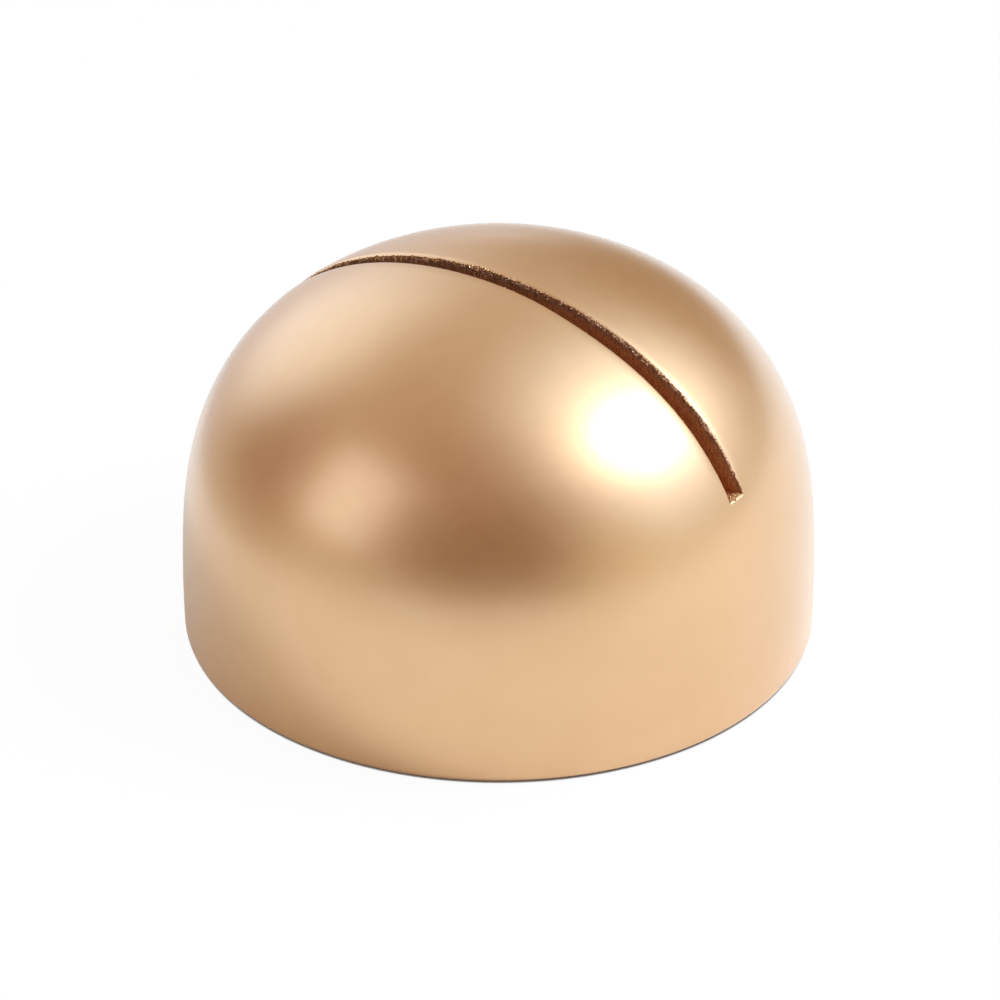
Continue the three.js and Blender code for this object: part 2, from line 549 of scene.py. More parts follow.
def lacquer_skin(material):
    """Sprayed film over the dome, round the foot and across the rim, open at the slot."""
    loop, edges, ends = slot_loop(0, film_gap, end_gap)
    rows = np.concatenate([edge_rows(edges, FILM_ROWS), end_rows(ends, BEYOND_ENDS)])
    plan, triangles = cap_plan(loop, rows)
    x, y = plan.T
    outline, outline_normals = side_outline()
    side = revolve(outline)[SEGMENTS:]
    side_normals = revolve(outline_normals)[SEGMENTS:]
    points = np.concatenate([on_crown(x, y, edge_drop(x, y)), side])
    normals = np.concatenate([crown_normals(x, y), side_normals])
    # The side's first ring is the cap's ring, so the faces between them are made on their own.
    ring, lower = len(loop), len(plan)
    faces = [tuple(triangle) for triangle in triangles]
    for k in range(SEGMENTS):
        beside_k = (k + 1) % SEGMENTS
        faces.append((ring + k, lower + k, lower + beside_k, ring + beside_k))
    faces += ring_faces(len(outline) - 1, lower)
    film_points, film_faces = shell(points, normals, faces, FILM)
    piece = add_piece("lacquer_skin", film_points, film_faces, material, "gold_lacquer", sharp_degrees=40)
    face_corners = sum(len(face) for face in faces)
    set_face_normals(piece.data, face_corners, np.concatenate([worn_normals(x, y), side_normals]))
    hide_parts("gold_lacquer")


def set_face_normals(mesh, face_corners, normals):
    """Give the lacquer's face, whose corners come first, normals over which reflections run smoothly."""
    corner_normals = np.array([corner.vector[:] for corner in mesh.corner_normals])
    vertices = np.zeros(len(mesh.loops), int)
    mesh.loops.foreach_get("vertex_index", vertices)
    corner_normals[:face_corners] = normals[vertices[:face_corners]]
    mesh.normals_split_custom_set(corner_normals.tolist())


# A wall stands clear of its top line from this height on.
WALL_CLEAR_HEIGHT = 0.3
# Grain of the slot floor: length, depth and seed
FLOOR_GRAIN = 0.15
FLOOR_GRAIN_DEPTH = 0.02
FLOOR_SEED = 31


def wood_core(material):
    """Turned dome under the lacquer, with the sawn slot and the recess for the felt."""
    loop, edges, ends = slot_loop(
        WOOD_DEPTH,
        gap_of=lambda x, side: wall_gap(x, np.zeros_like(x), side),
        end_of=lambda y, end: np.zeros_like(y),
    )
    plan, triangles = cap_plan(loop, edge_rows(edges, WOOD_ROWS))
    cap = wood_face(*plan.T)
    cap[:len(loop)] = seam_points(edges, ends)
    near, far = slot_wall(edges[-1], -1), slot_wall(edges[1], 1)
    walls = [(grid.reshape(-1, 3), faces) for grid, faces in (near, far)]
    floor = slot_floor(near[0][-1], far[0][-1], ends)
    points, faces = weld([(cap, triangles.tolist()), *walls, floor, wood_outside()])
    piece = add_piece("wood_core", points, faces, material, "sawn_wood", sharp_degrees=50)
    depth = crown_height(np.minimum(np.hypot(points[:, 0], points[:, 1]), RADIUS)) - points[:, 2]
    depths = piece.data.attributes.new("depth_mm", "FLOAT", "POINT")
    depths.data.foreach_set("value", depth.astype(np.float32))
    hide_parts("body_base", "body_front_cheek", "body_rear_cheek")


def end_points(ends, end):
    """The line along which the slot floor leaves the wood at one end."""
    x, y = ends[end].T
    points = on_crown(x, y, np.full(len(y), WOOD_DEPTH))
    points[:, 2] = floor_level(points[:, 0])
    return points


def wall_top(edge):
    """The line along which a wall starts, never below the slot floor."""
    top = wood_face(*edge.T)
    floor = floor_level(top[:, 0])
    top[:, 2] = np.maximum(top[:, 2], floor)
    top[[0, -1], 2] = floor[[0, -1]]
    return top


def seam_points(edges, ends):
    """The cap's points round the slot, exactly as the walls and the floor end there."""
    near, far = wall_top(edges[-1]), wall_top(edges[1])
    return np.concatenate([near, end_points(ends, 1), far[::-1], end_points(ends, -1)[::-1]])


def slot_wall(edge, side):
    """Rows of points on a sawn wall from its top down to the slot floor, and the faces between them."""
    top = wall_top(edge)
    height = top[:, 2] - floor_level(top[:, 0])
    # The wall closes on its edge at the two ends, where it has no height.
    open_share = np.clip(height / WALL_CLEAR_HEIGHT, 0, 1)
    grid = [top]
    for share in np.linspace(0, 1, SLOT_ROWS + 1)[1:] ** ROW_CROWDING:
        drop = share * height
        back = saw_line(edge[:, 0], side) + wall_gap(edge[:, 0], drop, side)
        y = top[:, 1] + (side * back - top[:, 1]) * open_share
        grid.append(rows_of(top[:, 0], y, top[:, 2] - drop))
    faces = grid_faces(SLOT_ROWS + 1, len(edge))
    if side > 0:
        faces = [face[::-1] for face in faces]
    return np.array(grid), faces


def slot_floor(near_line, far_line, ends):
    """Sawn floor between the feet of the two walls, a little rough."""
    grid = []
    for row in range(FLOOR_ROWS + 1):
        line = near_line + (far_line - near_line) * (row / FLOOR_ROWS)
        if 0 < row < FLOOR_ROWS:
            rough = [noise.noise(Vector((x / FLOOR_GRAIN, y / FLOOR_GRAIN, FLOOR_SEED))) for x, y, _ in line]
            line[:, 2] = floor_level(line[:, 0]) - FLOOR_GRAIN_DEPTH * (1 + np.array(rough))
            line[0] = end_points(ends, -1)[row - 1]
            line[-1] = end_points(ends, 1)[row - 1]
        grid.append(line)
    return np.array(grid).reshape(-1, 3), grid_faces(FLOOR_ROWS + 1, len(near_line))


def wood_outside():
    """The wood's side, foot and rim under the lacquer, and the recess for the felt."""
    outline, outline_normals = side_outline()
    inward = np.linspace(RECESS_RADIUS, CEILING_FAN, num=7)
    ceiling = rows_of(inward, np.full_like(inward, RECESS_TOP))
    below = np.concatenate([outline - WOOD_DEPTH * outline_normals, ceiling])
    points = revolve(below)
    middle = len(points)
    last = middle - SEGMENTS
    fan = [(last + k, middle, last + (k + 1) % SEGMENTS) for k in range(SEGMENTS)]
    return np.concatenate([points, [[0, 0, RECESS_TOP]]]), ring_faces(len(below)) + fan


# Crumbs and fibres

# Crumbs are uneven icosahedra: how far their corners stand out, their width and their flatness
CRUMB_CORNERS = (0.65, 1.25)
CRUMB_WIDTHS = (0.6, 1)
CRUMB_FLATNESS = 0.5
FULL_TURN = 6.28
# A crumb on a wall stands out by this share of its size.
CRUMB_OUT = 0.55
# On the worn edge it leans out and stands up, by shares of the film's thickness and of its own size.
EDGE_LEAN = 0.4
EDGE_RISE = 0.9
EDGE_FILM_SHARE = 0.8
EDGE_SIZE_SHARE = 0.2


def icosahedron():
    """Corners, at distance 1 from the origin, and faces."""
    golden = (1 + 5 ** 0.5) / 2
    corners = []
    for a, b in ((1, golden), (1, -golden), (-1, golden), (-1, -golden)):
        corners += [(0, a, b), (a, b, 0), (b, 0, a)]
    # Neighbours lie closer than this: the edge is 2 long, and the rest allows for rounding.
    reach = 2.1
    corners = np.array(corners, float)
    faces = []
    for i, j, k in itertools.combinations(range(len(corners)), 3):
        a, b, c = corners[[i, j, k]]
        if max(math.dist(a, b), math.dist(b, c), math.dist(c, a)) < reach:
            outward = np.dot(np.cross(b - a, c - a), a) > 0
            faces.append((i, j, k) if outward else (i, k, j))
    return corners / np.linalg.norm((1, golden)), faces


CRUMB_SHAPE, CRUMB_FACES = icosahedron()


def crumb_points(rng, size):
    """Points of one irregular crumb about the origin."""
    corners = CRUMB_SHAPE * rng.uniform(*CRUMB_CORNERS, (len(CRUMB_SHAPE), 1))
    corners = corners * np.array([1, rng.uniform(*CRUMB_WIDTHS), CRUMB_FLATNESS])
    turn = np.array(Matrix.Rotation(rng.uniform(0, FULL_TURN), 3, rng.normal(size=3).tolist()))
    return size * corners @ turn.T


def on_wall(along, drop, side):
    """Point on the sawn wood, drop below a wall's top. A drop below zero lies back on the worn edge."""
    x = np.array([along])
    down, back = max(drop, 0), max(-drop, 0)
    y = side * (saw_line(x, side) + wall_gap(x, np.array([down]), side) + back)
    face = wood_face(x, y)[0]
    return np.array([along, y[0], face[2] - down])


def crumb_on_wall(along, drop, side, size):
    """Centre and size of a crumb on a wall. On the worn edge it stands as high as the lacquer beside it."""
    out = np.array([0, -CRUMB_OUT * side * size, 0])
    if drop < 0:
        stand = EDGE_FILM_SHARE * FILM + EDGE_SIZE_SHARE * size
        out = np.array([0, -EDGE_LEAN * side, EDGE_RISE]) * stand
    return on_wall(along, drop, side) + out, size


def add_crumbs(name, crumbs, rng, material, slot):
    """One piece made of crumbs. Those that would lie under the slot floor are left out."""
    parts = []
    for centre, size in crumbs:
        if centre[2] >= floor_level(centre[0]):
            parts.append((centre + crumb_points(rng, size), CRUMB_FACES))
    add_piece(name, *gather(parts), material, slot, sharp_degrees=20)


# Crumbs of lacquer in the torn patch: count, depths and sizes
PATCH_CRUMBS = ((34, (-0.2, 0.1), (0.05, 0.09)), (22, (0.1, 0.6), (0.05, 0.09)))
# Crumbs of lacquer along the far and the near wall: side, count, mean depth and sizes
WALL_CRUMBS = ((1, 110, 0.16, (0.02, 0.045)), (-1, 40, 0.12, (0.015, 0.035)))
WALL_CRUMBS_REACH = 17.6
# Crumbs of lacquer on the torn +X end of the floor: count, places along and across it, sizes and rise
END_CRUMBS = (40, (17.6, 18.15), (-0.6, 0.75), (0.04, 0.08), 0.01)


def gold_flecks(material):
    """Crumbs of lacquer on the walls, thickest in the torn patch, and at the torn +X end of the floor."""
    rng = np.random.default_rng(4)
    places = []
    for count, depths, patch_sizes in PATCH_CRUMBS:
        for _ in range(count):
            places.append((rng.uniform(*TORN_PATCH), rng.uniform(*depths), 1, rng.uniform(*patch_sizes)))
    for side, count, mean_depth, wall_sizes in WALL_CRUMBS:
        for _ in range(count):
            along = rng.uniform(-WALL_CRUMBS_REACH, WALL_CRUMBS_REACH)
            places.append((along, rng.exponential(mean_depth), side, rng.uniform(*wall_sizes)))
    crumbs = [crumb_on_wall(*place) for place in places]
    count, reach, width, end_sizes, rise = END_CRUMBS
    for _ in range(count):
        x, y = rng.uniform(*reach), rng.uniform(*width)
        centre = np.array([x, y, floor_level(x) + rise])
        crumbs.append((centre, rng.uniform(*end_sizes)))
    add_crumbs("gold_flecks", crumbs, rng, material, "gold_lacquer")


# Burrs on the near edge: places along the slot, depth and size
NEAR_BURRS = (0.76, 1.46, 2.3, 7.18, 14.68)
BURR_DROP = -0.02
BURR_SIZE = 0.06
# One large flake on the far wall: place along the slot, depth, side and size
FAR_FLAKE = (3.3, 0.15, 1, 0.1)
# Pale tufts that stand out of the far wall: place along the slot and depth
FAR_TUFTS = (
    (6.42, 0.02), (8.34, 0.05), (8.89, 0.06), (10.05, 0.12), (10.85, 0.16), (11.89, 0.08), (12.19, 0.12),
    (15.29, 0.2), (15.71, 0.1), (17.09, 0.06), (17.37, 0.1),
)
# Specks of a tuft: count, spread along the slot and down the wall, and sizes
TUFT_SPECKS = (9, (0.12, 0.05), (0.05, 0.08))
# Clusters of specks along the far edge: count, share on the +X half, range of each half, and depths
CLUSTERS = 120
PLUS_X_CLUSTERS = 0.85
PLUS_X_RANGE = (-1, 17.8)
MINUS_X_RANGE = (-16, -1)
CLUSTER_DEPTHS = (-0.1, 0.1)
# Specks of a cluster: range of their count, spread and sizes as above
CLUSTER_COUNTS = (2, 7)
CLUSTER_SPECKS = ((0.15, 0.05), (0.03, 0.06))


def speck_cluster(rng, along, drop, count, spread, sizes):
    """Place, depth, side and size of specks that lie close together on the far wall."""
    specks = []
    for _ in range(count):
        place = along + rng.normal(0, spread[0])
        depth = drop + rng.normal(0, spread[1])
        specks.append((place, depth, 1, rng.uniform(*sizes)))
    return specks


def edge_specks(material):
    """Pale torn grain along the far edge, most of it on the +X half, and burrs on the near edge."""
    rng = np.random.default_rng(6)
    specks = [(along, BURR_DROP, -1, BURR_SIZE) for along in NEAR_BURRS]
    specks.append(FAR_FLAKE)
    for along, drop in FAR_TUFTS:
        specks += speck_cluster(rng, along, drop, *TUFT_SPECKS)
    for _ in range(CLUSTERS):
        on_plus_x = rng.random() < PLUS_X_CLUSTERS
        along = rng.uniform(*(PLUS_X_RANGE if on_plus_x else MINUS_X_RANGE))
        drop = rng.uniform(*CLUSTER_DEPTHS)
        count = rng.integers(*CLUSTER_COUNTS)
        specks += speck_cluster(rng, along, drop, count, *CLUSTER_SPECKS)
    crumbs = [crumb_on_wall(*speck) for speck in specks]
    add_crumbs("edge_specks", crumbs, rng, material, "sawn_wood")


# Splinters: steps along them, their four-sided section, a direction that none of them has, and their taper
SPLINTER_STEPS = 6
SPLINTER_SECTION = ((1, 0), (0, 0.6), (-1, 0), (0, -0.6))
ASKEW = (0.3, 1, 0.2)
SPLINTER_TAPER = 1.05


def splinter(start, end, bow, width):
    """Tapered strip between two points, four-sided and bowed, closed at both ends."""
    along = unit(end - start)
    across = unit(np.cross(along, ASKEW))
    up = np.cross(along, across)
    corners = len(SPLINTER_SECTION)
    points = []
    for step in range(SPLINTER_STEPS + 1):
        share = step / SPLINTER_STEPS
        middle = start + (end - start) * share + bow * 4 * share * (1 - share)
        half = width / 2 * (SPLINTER_TAPER - share ** 2)
        for a, b in SPLINTER_SECTION:
            points.append(middle + half * (a * across + b * up))
    faces = [(3, 2, 1, 0), tuple(corners * SPLINTER_STEPS + k for k in range(corners))]
    for step in range(SPLINTER_STEPS):
        for k in range(corners):
            a, b = corners * step + k, corners * step + (k + 1) % corners
            faces.append((a, b, b + corners, a + corners))
    return np.array(points), faces


# Torn strips that stand off the far wall: place along the slot, length, depth and width
TORN_STRIPS = (
    (15.2, 0.6, 0.1, 0.11), (15.78, 0.5, 0.2, 0.1), (11.16, 0.3, 0.1, 0.08), (12.3, 0.4, 0.08, 0.08),
)
# Fibres strewn along both walls: count, share on the far wall, reach, lengths, mean depth and widths
FIBRES = (170, 0.8, 17, (0.12, 0.4), 0.25, (0.02, 0.05))
# How a fibre or strip lies: sunk in the wall, aslant, clear of the floor, bowed, twisted, lifted at its tip
FIBRE_SUNK = 0.01
FIBRE_SLANT = 0.06
FIBRE_CLEARANCE = 0.05
FIBRE_BOWS = (0.01, 0.06)
FIBRE_TWIST = 0.02
FIBRE_LIFT = 0.06


def wood_fibres(material):
    """Loose fibres along the top of both walls."""
    rng = np.random.default_rng(9)
    count, far_share, reach, lengths, mean_depth, widths = FIBRES
    strips = [(*strip, 1) for strip in TORN_STRIPS]
    for _ in range(count):
        side = 1 if rng.random() < far_share else -1
        along = rng.uniform(-reach, reach)
        length = rng.uniform(*lengths)
        drop = rng.exponential(mean_depth)
        strips.append((along, length, drop, rng.uniform(*widths), side))
    parts = []
    for along, length, drop, width, side in strips:
        ends = [on_wall(along + shift, drop, side) for shift in (-length / 2, length / 2)]
        for end in ends:
            end += (0, FIBRE_SUNK * side, rng.normal(0, FIBRE_SLANT))
        if min(end[2] for end in ends) < SLOT_FLOOR + FIBRE_CLEARANCE:
            continue
        if rng.random() < 0.5:
            ends.reverse()
        root, tip = ends
        bow = np.array([0, -side * rng.uniform(*FIBRE_BOWS), rng.normal(0, FIBRE_TWIST)])
        tip[1] -= side * rng.uniform(0, FIBRE_LIFT)
        parts.append(splinter(root, tip, bow, width))
    add_piece("wood_fibres", *gather(parts), material, "sawn_wood", sharp_degrees=60)


# Felt

FELT_EDGE_ROUND = 0.3
# Lumps: two lengths, the fine ones' share, and how far they move the underside and, as a share, the edge
COARSE_LUMPS = 0.5
FINE_LUMPS = 0.22
FINE_LUMP_SHARE = 0.6
UNDERSIDE_GIVE = 0.03
EDGE_GIVE = 0.0016
# The underside lies below this share of the thickness, and the glued top above that one.
UNDERSIDE_SHARE = 0.2
TOP_SHARE = 0.9
UNDERSIDE_MIDDLE = 0.01


def felt_lump(x, y, z):
    coarse = noise.noise(Vector((x, y, z)) / COARSE_LUMPS)
    fine = noise.noise(Vector((x / FINE_LUMPS, y / FINE_LUMPS, z)))
    return coarse + FINE_LUMP_SHARE * fine


def felt_disc(material):
    """Pressed felt with an uneven face and a soft cut edge, standing on the table."""
    flat_radius = PAD_RADIUS - FELT_EDGE_ROUND
    half = PAD_THICKNESS / 2
    angle = np.linspace(-math.pi / 2, math.pi / 2, num=9)
    edge = rows_of(flat_radius + FELT_EDGE_ROUND * np.cos(angle), half + half * np.sin(angle))
    inward = np.linspace(flat_radius, FELT_FAN, num=26)[1:]
    top = rows_of(inward, np.full_like(inward, PAD_THICKNESS))
    bottom = rows_of(inward, np.zeros_like(inward))
    outline = np.concatenate([top[::-1], edge[::-1], bottom])
    points = revolve(outline)
    for k, (x, y, z) in enumerate(points):
        # The top is glued and lies level. The underside gives only upwards, off the table.
        if z < UNDERSIDE_SHARE * PAD_THICKNESS:
            points[k, 2] = z + UNDERSIDE_GIVE * max(0, felt_lump(x, y, z))
        elif z < TOP_SHARE * PAD_THICKNESS:
            points[k, :2] *= 1 + EDGE_GIVE * felt_lump(x, y, z)
    count = len(points)
    points = np.concatenate([points, [[0, 0, PAD_THICKNESS], [0, 0, UNDERSIDE_MIDDLE]]])
    faces = ring_faces(len(outline))
    last = count - SEGMENTS
    for k in range(SEGMENTS):
        beside = (k + 1) % SEGMENTS
        faces.append((count, k, beside))
        faces.append((last + beside, last + k, count + 1))
    piece = add_piece("felt_disc", points, faces, material, "felt", sharp_degrees=60)
    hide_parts("felt_pad")


# Stray hairs: count, swing in radians, heights as a share of the thickness, root and tip from the cut edge,
# rise at the tip, bow and width
HAIRS = (220, 0.03, (0.25, 0.8), 0.08, (0.05, 0.2), 0.1, 0.06, 0.03)


def felt_fuzz(material):
    """Stray fibres round the felt's cut edge, inside the recess."""
    rng = np.random.default_rng(12)
    count, swing, heights, root, tips, rise, curve, width = HAIRS
    parts = []
    for _ in range(count):
        around = rng.uniform(0, 2 * math.pi)
        turned = around + rng.uniform(-swing, swing)
        height = rng.uniform(*heights) * PAD_THICKNESS
        start = np.array([math.cos(around), math.sin(around), 0]) * (PAD_RADIUS - root)
        end = np.array([math.cos(turned), math.sin(turned), 0]) * (PAD_RADIUS + rng.uniform(*tips))
        start[2] = height
        end[2] = height + rng.uniform(-rise, rise)
        bow = np.array([0, 0, rng.uniform(-curve, curve)])
        parts.append(splinter(start, end, bow, width))
    add_piece("felt_fuzz", *gather(parts), material, "felt", sharp_degrees=60)


# Materials

class Nodes:
    """The node tree of a material or a world, with short ways to add nodes and join them."""

    def __init__(self, owner):
        self.owner = owner
        owner.use_nodes = True
        self.tree = owner.node_tree
        self.tree.nodes.clear()
        self.coordinates = self.add("ShaderNodeTexCoord").outputs

    def add(self, kind, *values, settings=None, **inputs):
        """New node. Values go to its first sockets in order, and inputs to the sockets that they name."""
        made = self.tree.nodes.new(kind)
        for key, value in (settings or {}).items():
            setattr(made, key, value)
        for socket, value in zip(made.inputs, values):
            self.feed(socket, value)
        for key, value in inputs.items():
            self.feed(made.inputs[key.replace("_", " ")], value)
        return made

    def feed(self, socket, value):
        if isinstance(value, bpy.types.NodeSocket):
            self.tree.links.new(value, socket)
        else:
            socket.default_value = value

    def grain(self, size_mm, detail=2.0, stretch=(1, 1, 1)):
        """Noise over the object whose features are about size_mm across, longer where stretch is larger."""
        scale = tuple(1 / (size_mm * MM * s) for s in stretch)
        mapped = self.add("ShaderNodeMapping", Vector=self.coordinates["Object"], Scale=scale)
        made = self.add("ShaderNodeTexNoise", Vector=mapped.outputs["Vector"], Scale=1.0, Detail=detail)
        return made.outputs["Fac"]

    def ramp(self, value, low, high, start=0.0, end=1.0):
        """Smooth step from start, where the value is low, to end, where it is high."""
        smooth = {"interpolation_type": "SMOOTHSTEP"}
        made = self.add("ShaderNodeMapRange", value, low, high, start, end, settings=smooth)
        return made.outputs["Result"]

    def mix(self, share, first, second):
        made = self.add("ShaderNodeMix", share, settings={"data_type": "RGBA"})
        self.feed(made.inputs[6], first)
        self.feed(made.inputs[7], second)
        return made.outputs[2]

    def mix_shaders(self, share, first, second):
        return self.add("ShaderNodeMixShader", share, first.outputs[0], second.outputs[0])

    def math(self, operation, first, second):
        made = self.add("ShaderNodeMath", first, second, settings={"operation": operation})
        return made.outputs["Value"]

    def bump(self, height, distance_mm, strength):
        made = self.add("ShaderNodeBump", Height=height, Strength=strength, Distance=distance_mm * MM)
        return made.outputs["Normal"]

    def surface(self, colour, roughness, **inputs):
        return self.add("ShaderNodeBsdfPrincipled", Base_Color=colour, Roughness=roughness, **inputs)

    def finish(self, shader):
        self.add("ShaderNodeOutputMaterial", Surface=shader.outputs[0])
        return self.owner


def new_look(name):
    return Nodes(bpy.data.materials.new(name))


GOLD_TONES = ((0.78, 0.477, 0.242, 1), (0.765, 0.463, 0.232, 1))
GOLD_ROUGHNESS = (0.36, 0.38)


def gold_lacquer_look():
    """Fine metal flake under a satin clear coat."""
    nodes = new_look("gold_lacquer_look")
    cloud = nodes.ramp(nodes.grain(4.0), 0.35, 0.65)
    flake = nodes.grain(0.07, detail=1.0)
    shader = nodes.surface(
        nodes.mix(cloud, *GOLD_TONES),
        nodes.ramp(nodes.grain(0.9), 0.3, 0.7, *GOLD_ROUGHNESS),
        Metallic=1.0,
        Normal=nodes.bump(flake, 0.004, 0.12),
        Coat_Weight=1.0,
        Coat_Roughness=0.25,
        Coat_IOR=1.5,
    )
    return nodes.finish(shader)


# Sawn wood: its streaks at the top of the walls and further down, the lower ones painted brighter and redder
# as a painted glow of light bounced off the near wall, the depths between, and the pores
TOP_TONES = ((0.27, 0.115, 0.055, 1), (0.46, 0.24, 0.14, 1))
DEEP_GLOW_TONES = ((0.5, 0.19, 0.07, 1), (0.68, 0.28, 0.11, 1))
DEEP_GLOW_SPAN = (0.35, 0.95)
PORE = (0.1, 0.04, 0.02, 1)
# Painted shade: the wood is painted darker on the -X half, away from the key's light bounced off the near
# wall: the stretch along the slot, and the brightness before and after it
PAINTED_SHADE_ALONG = (-4 * MM, 14 * MM, 0.72, 1.0)
# Dust of lacquer: colour, and how much more there is along the slot, at its -X end and on the floor at +X,
# each by a stretch along the slot and the amounts before and after it
DUST = (0.8, 0.46, 0.2, 1)
DUST_ALONG = (-9 * MM, 3 * MM, 0.3, -0.2)
DUST_AT_END = (-13.5 * MM, -15.5 * MM, 0.0, 0.5)
DUST_ON_FLOOR = (17.4 * MM, 17.8 * MM, 0.0, 2.5)
# How fast the dust thins out per millimetre of depth, and the weight of the places above
DUST_THINNING = 0.42
DUST_WEIGHT = 0.3


def sawn_wood_look():
    """Sawn wood with upright saw marks, its top dusted with lacquer, most on the -X half. Painted light and
    shade: brighter and redder below as a painted glow of bounced light, and darker on the -X half as painted
    shade.
    """
    nodes = new_look("sawn_wood_look")
    depth = nodes.add("ShaderNodeAttribute", settings={"attribute_name": "depth_mm"}).outputs["Fac"]
    along = nodes.add("ShaderNodeSeparateXYZ", Vector=nodes.coordinates["Object"]).outputs["X"]
    streak = nodes.grain(0.13, detail=3.0, stretch=(1, 1, 5))
    pores = nodes.grain(0.06, stretch=(1, 1, 2))
    tone = nodes.ramp(streak, 0.36, 0.64)
    top = nodes.mix(tone, *TOP_TONES)
    # Further down the walls the wood is painted brighter and redder: a painted glow of light bounced off the
    # near wall.
    deep_glow = nodes.mix(tone, *DEEP_GLOW_TONES)
    colour = nodes.mix(nodes.ramp(depth, *DEEP_GLOW_SPAN), top, deep_glow)
    colour = nodes.mix(nodes.ramp(pores, 0.33, 0.45), PORE, colour)
    # Painted shade darkens the -X half of the wood.
    painted_shade = nodes.ramp(along, *PAINTED_SHADE_ALONG)
    colour = nodes.add("ShaderNodeHueSaturation", Color=colour, Value=painted_shade).outputs["Color"]
    rough = nodes.bump(nodes.math("ADD", streak, pores), 0.04, 0.8)
    wood = nodes.surface(colour, 0.85, Normal=rough, Specular_IOR_Level=0.25)
    dusted = nodes.surface(DUST, 0.55, Metallic=0.3, Normal=rough)
    return nodes.finish(nodes.mix_shaders(dust_cover(nodes, depth, along), wood, dusted))


def dust_cover(nodes, depth, along):
    """Where stray lacquer covers the wood, in ragged upright patches that thin out downwards."""
    stray = nodes.grain(0.16, detail=3.0, stretch=(1, 1, 4))
    more = nodes.ramp(along, *DUST_ALONG)
    more = nodes.math("ADD", more, nodes.ramp(along, *DUST_AT_END))
    facing = nodes.add("ShaderNodeNewGeometry").outputs["Normal"]
    level = nodes.ramp(nodes.add("ShaderNodeSeparateXYZ", Vector=facing).outputs["Z"], 0.5, 0.9)
    more = nodes.math("ADD", more, nodes.math("MULTIPLY", level, nodes.ramp(along, *DUST_ON_FLOOR)))
    cover = nodes.math("SUBTRACT", stray, nodes.math("MULTIPLY", depth, DUST_THINNING))
    cover = nodes.math("ADD", cover, nodes.math("MULTIPLY", more, DUST_WEIGHT))
    return nodes.ramp(cover, 0.5, 0.58)


TORN_TONES = ((0.7, 0.38, 0.2, 1), (1.0, 0.75, 0.5, 1))


def speck_look():
    """Pale grain where the wood is torn."""
    nodes = new_look("torn_grain_look")
    tone = nodes.ramp(nodes.grain(0.1), 0.35, 0.6)
    return nodes.finish(nodes.surface(nodes.mix(tone, *TORN_TONES), 0.6))


FIBRE_TONES = ((0.25, 0.1, 0.045, 1), (0.55, 0.34, 0.21, 1))


def fibre_look():
    nodes = new_look("wood_fibre_look")
    return nodes.finish(nodes.surface(nodes.mix(nodes.grain(0.2), *FIBRE_TONES), 0.7))


FELT_TONES = ((0.018, 0.011, 0.008, 1), (0.07, 0.045, 0.032, 1))


def felt_look():
    """Pressed dark fibres that lie in all directions."""
    nodes = new_look("felt_look")
    fibres = nodes.grain(0.12, detail=4.0, stretch=(1, 3, 1))
    crossing = nodes.grain(0.12, detail=4.0, stretch=(3, 1, 1))
    weave = nodes.math("MAXIMUM", fibres, crossing)
    shader = nodes.surface(
        nodes.mix(nodes.ramp(weave, 0.45, 0.7), *FELT_TONES),
        0.95,
        Normal=nodes.bump(weave, 0.06, 0.8),
        Sheen_Weight=0.4,
        Sheen_Roughness=0.6,
    )
    return nodes.finish(shader)


GLUE_TONES = ((0.62, 0.55, 0.36, 1), (0.74, 0.67, 0.47, 1))


def adhesive_look():
    nodes = new_look("adhesive_look")
    colour = nodes.mix(nodes.grain(1.5, detail=3.0), *GLUE_TONES)
    return nodes.finish(nodes.surface(colour, 0.45, Normal=nodes.bump(nodes.grain(0.5), 0.02, 0.4)))


# Stage, light and camera

# The photograph's view: turned from the front towards +X, and raised
VIEW_TURN = math.radians(35.57)
VIEW_RISE = math.radians(31.35)
RIGHT = np.array([math.cos(VIEW_TURN), math.sin(VIEW_TURN), 0])
TOWARDS = np.array([math.sin(VIEW_TURN), -math.cos(VIEW_TURN), 0])
UP = np.array([0, 0, 1.0])
WHITE = (1, 1, 1, 1)


def direction(turn, rise):
    """Unit vector from the stand: degrees from the camera's side to its right, and degrees above level."""
    turn, rise = math.radians(turn), math.radians(rise)
    return math.cos(rise) * (math.sin(turn) * RIGHT + math.cos(turn) * TOWARDS) + math.sin(rise) * UP


# Softboxes: turn, rise, distance in metres, width, height, brightness and tint
SOFTBOXES = {
    "key": (90.5, 49.4, 0.35, 0.105, 0.105, 14.4, (0.96, 1.0, 1.14)),
    "left_fill": (-65, 30.5, 0.6, 0.31, 0.43, 0.79, (0.81, 0.99, 1.25)),
}
# Their power for each square metre at brightness 1, and the height in metres that they point at
SOFTBOX_POWER = 4
SOFTBOX_AIM = 0.012


def add_softboxes():
    for name, (turn, rise, distance, width, height, brightness, tint) in SOFTBOXES.items():
        light = bpy.data.lights.new(name, "AREA")
        light.shape = "RECTANGLE"
        light.size = width
        light.size_y = height
        light.energy = SOFTBOX_POWER * width * height * brightness
        light.color = tint
        lamp = add_object(name, light)
        away = direction(turn, rise)
        lamp.location = Vector(away * distance) + Vector((0, 0, SOFTBOX_AIM))
        lamp.rotation_euler = Vector(away).to_track_quat("Z", "Y").to_euler()
        lamp.visible_camera = False


# The room is an even warm grey, with soft round patches that are brighter or dimmer than it.
ROOM_LIGHT = (0.65, 0.6, 0.52)
